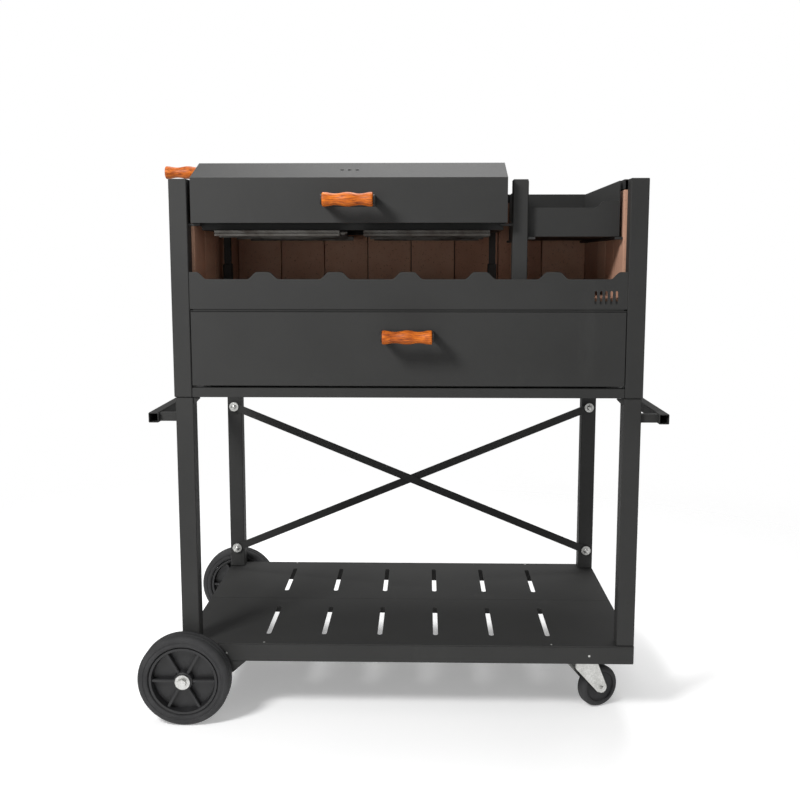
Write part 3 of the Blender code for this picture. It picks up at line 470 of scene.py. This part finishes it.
def evaluated(name, tree, settings):
    """Runs a Geometry Nodes tree on an empty mesh and returns what it makes as a plain mesh."""
    holder = bpy.data.objects.new(name + "_holder", bpy.data.meshes.new(name + "_holder"))
    bpy.context.scene.collection.objects.link(holder)
    modifier = holder.modifiers.new("shape", "NODES")
    modifier.node_group = tree
    sockets = {item.name: item.identifier for item in tree.interface.items_tree if item.in_out == "INPUT"}
    for label, value in settings.items():
        modifier[sockets[label]] = value
    bpy.context.view_layer.update()
    made = holder.evaluated_get(bpy.context.evaluated_depsgraph_get())
    mesh = bpy.data.meshes.new_from_object(made)
    mesh.name = name
    bpy.data.objects.remove(holder)
    return mesh


def tree_of(name, inputs):
    """A Geometry Nodes group with named inputs, and a function that adds nodes to it."""
    tree = bpy.data.node_groups.new(name, "GeometryNodeTree")
    for label, kind in inputs:
        tree.interface.new_socket(label, in_out="INPUT", socket_type=kind)
    tree.interface.new_socket("Geometry", in_out="OUTPUT", socket_type="NodeSocketGeometry")
    entry, leave = tree.nodes.new("NodeGroupInput"), tree.nodes.new("NodeGroupOutput")

    def add(kind, settings, sockets, output=0):
        node = tree.nodes.new(kind)
        for label, value in settings.items():
            setattr(node, label, value)
        for label, value in sockets.items():
            if isinstance(value, bpy.types.NodeSocket):
                tree.links.new(value, node.inputs[label])
            else:
                node.inputs[label].default_value = value
        return node.outputs[output]

    def finish(geometry):
        tree.links.new(geometry, leave.inputs["Geometry"])
        return tree

    return entry.outputs, add, finish


print("piece helpers ready")

# %% [markdown]
# ## The brick linings
# A lining is a grid of equal bricks with hair-line joints. Geometry Nodes suit that: a mesh grid gives one
# point for each brick, a brick is instanced on each, and small random turns keep the wall from
# looking printed. The brick itself is a block with worn, rounded edges. A random number stored on each
# instance becomes its tone.

# %% One brick


def brick_mesh(name, size, seed):
    """A pressed brick: a block with its edges worn round."""
    work = bmesh.new()
    bmesh.ops.create_cube(work, size=1)
    bmesh.ops.scale(work, vec=size, verts=work.verts)
    bmesh.ops.bevel(work, geom=work.edges[:], offset=0.0016, segments=3, profile=0.6, affect="EDGES")
    long_edges = [e for e in work.edges if e.calc_length() > 0.02]
    bmesh.ops.subdivide_edges(work, edges=long_edges, cuts=9, use_grid_fill=True)
    for vert in work.verts:
        spot = vert.co * 60 + Vector((seed, 0, 0))
        vert.co += vert.co.normalized() * noise.noise(spot) * 0.0003
    bmesh.ops.recalc_face_normals(work, faces=work.faces)
    mesh = bpy.data.meshes.new(name)
    work.to_mesh(mesh)
    work.free()
    return mesh


# %% The wall tree
INPUTS, add, finish_tree = tree_of("brick_wall", [
    ("Brick", "NodeSocketObject"), ("Columns", "NodeSocketInt"), ("Rows", "NodeSocketInt"),
    ("Width", "NodeSocketFloat"), ("Height", "NodeSocketFloat"), ("Turn", "NodeSocketVector"),
    ("Place", "NodeSocketVector"), ("Seed", "NodeSocketInt"), ("Finish", "NodeSocketMaterial")])
points = add("GeometryNodeMeshGrid", {}, {"Size X": INPUTS["Width"], "Size Y": INPUTS["Height"],
                                          "Vertices X": INPUTS["Columns"], "Vertices Y": INPUTS["Rows"]})
brick_info = add("GeometryNodeObjectInfo", {}, {"Object": INPUTS["Brick"]}, "Geometry")
wobble = add("FunctionNodeRandomValue", {"data_type": "FLOAT_VECTOR"},
             {"Min": (-0.004, -0.004, -0.0022), "Max": (0.004, 0.004, 0.0022), "Seed": INPUTS["Seed"]}, "Value")
laid = add("GeometryNodeInstanceOnPoints", {}, {"Points": points, "Instance": brick_info, "Rotation": wobble})
tone = add("FunctionNodeRandomValue", {"data_type": "FLOAT"}, {"Seed": INPUTS["Seed"]}, 1)
toned = add("GeometryNodeStoreNamedAttribute", {"data_type": "FLOAT", "domain": "INSTANCE"},
            {"Geometry": laid, "Name": "brick_tone", "Value": tone})
upright = add("GeometryNodeTransform", {}, {"Geometry": toned, "Rotation": INPUTS["Turn"],
                                            "Translation": INPUTS["Place"]})
real = add("GeometryNodeRealizeInstances", {}, {"Geometry": upright})
wall_tree = finish_tree(add("GeometryNodeSetMaterial", {}, {"Geometry": real, "Material": INPUTS["Finish"]}))

# %% Lay the linings
JOINT = 0.0024
QUARTER = math.pi / 2


def lining(node, columns, rows, turn, across, up, thick, seed):
    """Bricks that fill a plain lining's box. across, up and thick name the box's axes."""
    low, high = box(node)
    size = high - low
    pitch_across, pitch_up = size[across] / columns, size[up] / rows
    one = (pitch_across - JOINT, pitch_up - JOINT, size[thick] - 0.0012)
    source = bpy.data.objects.new(node + "_brick", brick_mesh(node + "_brick", one, seed))
    bpy.context.scene.collection.objects.link(source)
    mesh = evaluated(node + "_bricks", wall_tree, {
        "Brick": source, "Columns": columns, "Rows": rows, "Width": size[across] - pitch_across,
        "Height": size[up] - pitch_up, "Turn": turn, "Place": (low + high) / 2, "Seed": seed, "Finish": CLAY})
    bpy.data.objects.remove(source)
    made = piece(node + "_bricks", mesh, "cart", CLAY)
    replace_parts(made, node)
    return len(mesh.polygons)


faces = [lining("lining_back", 8, 1, (QUARTER, 0, 0), 0, 2, 1, 3),
         lining("lining_left", 5, 1, (QUARTER, 0, QUARTER), 1, 2, 0, 5),
         lining("lining_right", 5, 1, (QUARTER, 0, QUARTER), 1, 2, 0, 8)]
print("brick faces", faces)

# %% [markdown]
# The floor is paved with the same bricks laid flat, eight across and three deep. It keeps the frame's own
# block, because the sleeves that guide the grate carriage stand in it, and its finish scores the joints.
#
# Two small sheet details come next: a lip that closes the gap in front of the paving, and the little
# gussets between the front legs and the rail above them.

# %% Lip and gussets


def extruded(name, outlines, along):
    """Closed outlines, each a list of (a, b) points with its start and end, pushed along one axis."""
    work = bmesh.new()
    others = [axis for axis in range(3) if axis != along]
    for outline, start, end in outlines:
        ends = []
        for at in (start, end):
            ring = []
            for pair in outline:
                spot = [at, at, at]
                spot[others[0]], spot[others[1]] = pair
                ring.append(work.verts.new(spot))
            ends.append(ring)
        for i in range(len(outline)):
            j = (i + 1) % len(outline)
            work.faces.new((ends[0][i], ends[0][j], ends[1][j], ends[1][i]))
        work.faces.new(ends[0][::-1])
        work.faces.new(ends[1])
    bmesh.ops.recalc_face_normals(work, faces=work.faces)
    mesh = bpy.data.meshes.new(name)
    work.to_mesh(mesh)
    work.free()
    return mesh


SHEET = 0.0012
lip_front, lip_foot, lip_top = paved_low.y - 0.0028, paved_low.z - 0.0008, paved_low.z + 0.018
bend = [(lip_front + SHEET / 2 * (1 - math.cos(a)), lip_top + SHEET / 2 * math.sin(a))
        for a in (math.pi * i / 6 for i in range(7))]
lip_outline = [(lip_front, lip_foot)] + bend + [(lip_front + SHEET, lip_foot)]
lip = extruded("hearth_lip", [(lip_outline, paved_low.x, paved_high.x)], 0)
piece("hearth_lip", lip, "cart", COAT)

GUSSET = 0.014
gussets = []
for side, sign in (("left", 1), ("right", -1)):
    low, high = box("leg_front_" + side)
    corner = high.x if sign > 0 else low.x
    outline = [(corner, high.z), (corner + sign * GUSSET, high.z), (corner + sign * GUSSET, high.z - 0.0025),
               (corner + sign * 0.0025, high.z - GUSSET), (corner, high.z - GUSSET)]
    gussets.append((outline, low.y + 0.004, low.y + 0.007))
piece("leg_gussets", extruded("leg_gussets", gussets, 1), "cart", COAT)
print("lip and", len(gussets), "gussets")

# %% [markdown]
# ## Turned grips
# Each grip has flared ends, a waist at each quarter and a full middle, which is one cosine along its
# length. Turning on a lathe leaves a small round at each end, so the profile starts with a few points of an
# arc.

# %% Grips
FLARE = 0.10
END_ROUND = 0.0025


def grip(node, body):
    low, high = box(node)
    length, radius = high.x - low.x, (high.z - low.z) / 2
    profile = [(0.0, length / 2)]
    for step in range(4):
        angle = math.pi / 2 * step / 3
        profile.append((radius - END_ROUND * (1 - math.sin(angle)),
                        length / 2 - END_ROUND * (1 - math.cos(angle))))
    rings = 40
    for i in range(1, rings):
        t = i / rings
        profile.append((radius * (1 - FLARE + FLARE * math.cos(4 * math.pi * t)),
                        (length - 2 * END_ROUND) * (0.5 - t)))
    profile += [(r, -h) for r, h in reversed(profile[:5])]
    mesh = turned(node + "_turned", profile, (low + high) / 2, (1, 0, 0), 48)
    made = piece(node + "_turned", mesh, body, WOOD, 60)
    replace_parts(made, node)


for node, body in (("lid_grip", "lid"), ("drawer_grip", "drawer"), ("lever_grip", "lever")):
    grip(node, body)
print("three grips turned")

# %% [markdown]
# ## Tyres, rims and caster wheels
# The left wheels carry solid rubber tyres on ribbed plastic rims, the right ones are one-piece wheels. A
# wheel is a turned profile, so a list of radii and heights draws it. Two shallow grooves run round the
# tread, and a raised ring on each flank. Six ribs on the rim are instanced round the axle by Geometry
# Nodes.

# %% Tyres


def mirrored(half):
    """A closed profile from its upper half."""
    whole = half + [(r, -h) for r, h in reversed(half)]
    return whole + [whole[0]]


def arc(centre, radius, start, end, steps):
    """(radius, height) points of an arc, in degrees, from the wheel's side (90) round to its tread (0)."""
    angles = [math.radians(start + (end - start) * i / steps) for i in range(steps + 1)]
    return [(centre[0] + radius * math.cos(a), centre[1] + radius * math.sin(a)) for a in angles]


RIM_RADIUS = (box("rim_front")[1].x - box("rim_front")[0].x) / 2
for end in ("front", "rear"):
    low, high = box("tyre_" + end)
    radius, half = (high.z - low.z) / 2, (high.y - low.y) / 2
    flank = [(RIM_RADIUS + 0.0004, half - 0.0045), (RIM_RADIUS + 0.003, half - 0.001),
             (RIM_RADIUS + 0.007, half - 0.0002), (RIM_RADIUS + 0.009, half - 0.0014),
             (radius - 0.0135, half - 0.0014), (radius - 0.0125, half - 0.0002)]
    shoulder = arc((radius - 0.0105, half - 0.0103), 0.0103, 90, 8, 8)
    tread = [(radius - 0.0002, half - 0.014), (radius - 0.0022, half - 0.0150), (radius - 0.0022, half - 0.0172),
             (radius - 0.0002, half - 0.0182)]
    mesh = turned("tyre_" + end + "_moulded", mirrored(flank + shoulder + tread), (low + high) / 2, (0, 1, 0), 96)
    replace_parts(piece("tyre_" + end + "_moulded", mesh, end + "_wheel", RUBBER, 40), "tyre_" + end)
print("tyre radius", round(radius, 4))

# %% Rims
INPUTS, add, finish_tree = tree_of("rib_ring", [
    ("Rib", "NodeSocketObject"), ("Count", "NodeSocketInt"), ("Place", "NodeSocketVector"),
    ("Finish", "NodeSocketMaterial")])
circle = add("GeometryNodeMeshCircle", {}, {"Vertices": INPUTS["Count"], "Radius": 0.001})
place_of = add("GeometryNodeInputPosition", {}, {})
facing = add("FunctionNodeAlignRotationToVector", {"axis": "X"}, {"Vector": place_of})
rib_info = add("GeometryNodeObjectInfo", {}, {"Object": INPUTS["Rib"]}, "Geometry")
ribs = add("GeometryNodeInstanceOnPoints", {}, {"Points": circle, "Instance": rib_info, "Rotation": facing})
stood = add("GeometryNodeTransform", {}, {"Geometry": ribs, "Rotation": (QUARTER, 0, 0),
                                          "Translation": INPUTS["Place"]})
real = add("GeometryNodeRealizeInstances", {}, {"Geometry": stood})
rib_tree = finish_tree(add("GeometryNodeSetMaterial", {}, {"Geometry": real, "Material": INPUTS["Finish"]}))

HUB_RADIUS, RIB_COUNT, RIB_THICK = 0.021, 6, 0.0065


def rib_source(half):
    """One rib, a block with bevelled edges, lying along +X from the hub to the rim."""
    work = bmesh.new()
    bmesh.ops.create_cube(work, size=1)
    length = RIM_RADIUS - 0.006 - HUB_RADIUS + 0.004
    bmesh.ops.scale(work, vec=(length, RIB_THICK, 2 * half - 0.008), verts=work.verts)
    bmesh.ops.translate(work, vec=(HUB_RADIUS - 0.004 + length / 2, 0, 0), verts=work.verts)
    bmesh.ops.bevel(work, geom=work.edges[:], offset=0.0012, segments=2, affect="EDGES")
    mesh = bpy.data.meshes.new("rib_source")
    work.to_mesh(mesh)
    work.free()
    obj = bpy.data.objects.new("rib_source", mesh)
    bpy.context.scene.collection.objects.link(obj)
    return obj


for end in ("front", "rear"):
    low, high = box("rim_" + end)
    half = (high.y - low.y) / 2
    profile = [(0.0064, half - 0.0005), (0.0175, half - 0.0005), (HUB_RADIUS - 0.001, half - 0.002),
               (HUB_RADIUS, half - 0.005), (HUB_RADIUS + 0.001, 0.0045), (RIM_RADIUS - 0.009, 0.0045),
               (RIM_RADIUS - 0.0075, half - 0.004), (RIM_RADIUS - 0.006, half - 0.0006),
               (RIM_RADIUS - 0.001, half - 0.0004), (RIM_RADIUS - 0.0002, half - 0.003)]
    disc = turned("rim_" + end + "_moulded", mirrored(profile), (low + high) / 2, (0, 1, 0), 72)
    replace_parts(piece("rim_" + end + "_moulded", disc, end + "_wheel", PLASTIC, 40), "rim_" + end)
    source = rib_source(half)
    settings = {"Rib": source, "Count": RIB_COUNT, "Place": (low + high) / 2, "Finish": PLASTIC}
    mesh = evaluated("rim_" + end + "_ribs", rib_tree, settings)
    bpy.data.objects.remove(source)
    piece("rim_" + end + "_ribs", mesh, end + "_wheel", PLASTIC)
print("rims with", RIB_COUNT, "ribs")

# %% Caster wheels
for end in ("front", "rear"):
    joint = next(j for j in frame["joints"] if j["name"] == end + "_caster_spin")
    axis, centre = Vector(joint["axis"]), Vector(joint["pos_m"])
    low, high = box("caster_wheel_" + end)
    radius, half = (high.z - low.z) / 2, 0.015
    hub = [(0.0044, half - 0.0002), (0.0125, half - 0.0002), (0.0140, half - 0.002), (0.0165, half - 0.0055)]
    web = [(radius - 0.0140, half - 0.0055), (radius - 0.0125, half - 0.0016)]
    tread = arc((radius - 0.0105, half - 0.0112), 0.0104, 90, 12, 8)
    mesh = turned("caster_wheel_" + end + "_moulded", mirrored(hub + web + tread), centre, axis, 72)
    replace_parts(piece("caster_wheel_" + end + "_moulded", mesh, end + "_caster_wheel", RUBBER, 40),
                "caster_wheel_" + end)
print("caster radius", round(radius, 4))

# %% [markdown]
# ## Fasteners
# Zinc bolts hold the brace bars, and small screws the shelf. One tree puts a small domed bolt on every
# point of a mesh and turns it to that point's normal, so a list of places and directions is all that each
# body needs.

# %% Bolt tree
INPUTS, add, finish_tree = tree_of("bolts", [
    ("Bolt", "NodeSocketObject"), ("Points", "NodeSocketObject"), ("Finish", "NodeSocketMaterial")])
spots = add("GeometryNodeObjectInfo", {}, {"Object": INPUTS["Points"]}, "Geometry")
bolt_info = add("GeometryNodeObjectInfo", {}, {"Object": INPUTS["Bolt"]}, "Geometry")
outward = add("GeometryNodeInputNamedAttribute", {"data_type": "FLOAT_VECTOR"}, {"Name": "outward"})
width = add("GeometryNodeInputNamedAttribute", {"data_type": "FLOAT"}, {"Name": "width"})
aimed = add("FunctionNodeAlignRotationToVector", {"axis": "Z"}, {"Vector": outward})
set_bolts = add("GeometryNodeInstanceOnPoints", {}, {"Points": spots, "Instance": bolt_info, "Rotation": aimed,
                                                     "Scale": width})
real = add("GeometryNodeRealizeInstances", {}, {"Geometry": set_bolts})
bolt_tree = finish_tree(add("GeometryNodeSetMaterial", {}, {"Geometry": real, "Material": INPUTS["Finish"]}))

# %% Bolt shape and places
DOME = [(0.0, 0.42), (0.25, 0.39), (0.42, 0.29), (0.52, 0.16), (0.54, 0.10), (0.60, 0.09), (0.98, 0.075),
        (1.0, 0.05), (1.0, 0.0), (0.0, 0.0)]
bolt_shape = bpy.data.objects.new("bolt_shape", turned("bolt_shape", DOME, (0, 0, 0), (0, 0, 1), 24))
bpy.context.scene.collection.objects.link(bolt_shape)


def bolts(name, body, places, finish=ZINC):
    """places holds (position, outward direction, radius) for each bolt."""
    mesh = bpy.data.meshes.new(name + "_points")
    mesh.from_pydata([tuple(p) for p, _, _ in places], [], [])
    # a second attribute moves the first one in memory, so each is filled as soon as it is made
    out = mesh.attributes.new("outward", "FLOAT_VECTOR", "POINT")
    for i, (_, direction, _) in enumerate(places):
        out.data[i].vector = direction
    wide = mesh.attributes.new("width", "FLOAT", "POINT")
    for i, (_, _, radius) in enumerate(places):
        wide.data[i].value = radius
    source = bpy.data.objects.new(name + "_points", mesh)
    bpy.context.scene.collection.objects.link(source)
    made = evaluated(name, bolt_tree, {"Bolt": bolt_shape, "Points": source, "Finish": finish})
    bpy.data.objects.remove(source)
    return piece(name, made, body, finish, 40)


FRONT, UP, BACK = (0, -1, 0), (0, 0, 1), (0, 1, 0)
BRACE_INSET = 0.011     # from the bar's outline to the middle of each bolt
BRACE_HEAD = 0.0004     # the bar's foremost face is the head of its plain bolt
brace = []
for bar in ("rising", "falling"):
    low, high = box("brace_bar_" + bar)
    left, right = low.x + BRACE_INSET, high.x - BRACE_INSET
    bottom, top = low.z + BRACE_INSET, high.z - BRACE_INSET
    ends = ((left, bottom), (right, top)) if bar == "rising" else ((left, top), (right, bottom))
    brace += [(Vector((x, low.y + BRACE_HEAD, z)), FRONT, 0.0125) for x, z in ends]
bolts("brace_bolts", "cart", brace)

shelf_low, shelf_high = box("shelf_frame")
shelf_high.z = box("shelf_panel_front")[1].z
SCREW_FRONT = (0.4006, 0.1484)   # across from the middle, and up
SCREW_TOP = (0.3180, 0.009)      # across from the middle, and back from the front plane
SCREW_RADIUS, SCREW_SUNK = 0.0024, 0.0001
screws = []
for sign in (-1, 1):
    x, z = CART_X + sign * SCREW_FRONT[0], SCREW_FRONT[1]
    screws.append((Vector((x, shelf_low.y + SCREW_SUNK, z)), FRONT, SCREW_RADIUS))
    screws.append((Vector((x, shelf_high.y - SCREW_SUNK, z)), BACK, SCREW_RADIUS))
    for y in (FRONT_Y + SCREW_TOP[1], shelf_low.y + shelf_high.y - FRONT_Y - SCREW_TOP[1]):
        place = Vector((CART_X + sign * SCREW_TOP[0], y, shelf_high.z - SCREW_SUNK))
        screws.append((place, UP, SCREW_RADIUS))
bolts("frame_screws", "cart", screws)

print("bolts:", len(brace) + len(screws))
bpy.data.objects.remove(bolt_shape)
